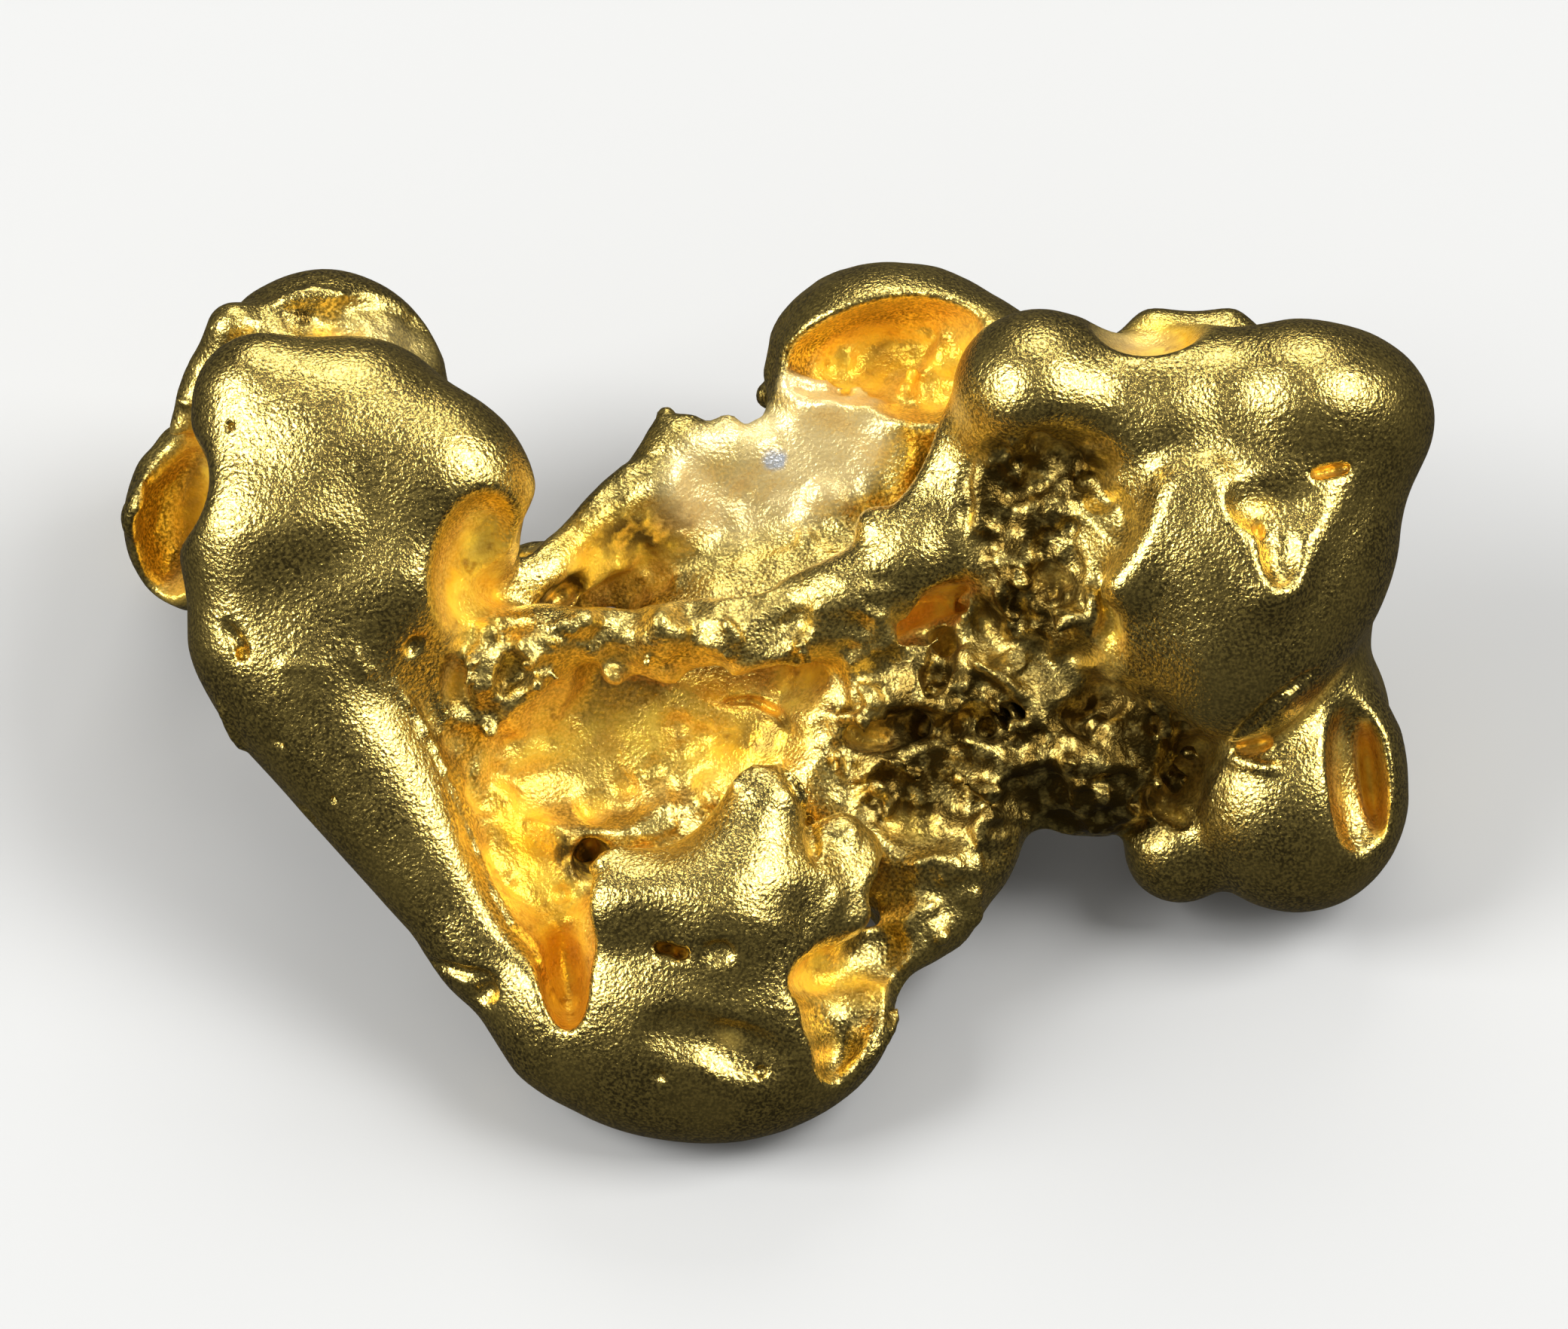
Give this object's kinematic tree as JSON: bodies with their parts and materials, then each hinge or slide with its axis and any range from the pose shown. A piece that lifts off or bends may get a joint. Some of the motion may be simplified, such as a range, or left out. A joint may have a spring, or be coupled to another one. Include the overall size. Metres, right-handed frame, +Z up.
{
  "type": "gold nugget",
  "caption": "Small water-worn gold nugget with rounded lobes, a knobbly bridge, a spongy neck and deep hollows, resting on worn feet.",
  "frame": {"origin": "middle of the footprint, on the level that the nugget rests on", "axes": "+X along the greatest length, from the lobe with the cupped flap to the big tooth-shaped lobe, +Y away from the open face, +Z up"},
  "size_m": [0.012, 0.0084, 0.0049],
  "materials": {
    "gold": "frosted, finely dented natural gold, pale on the worn lobes and deep amber in the hollows"
  },
  "bodies": {
    "root": {"nugget": "gold"}
  },
  "joints": []
}
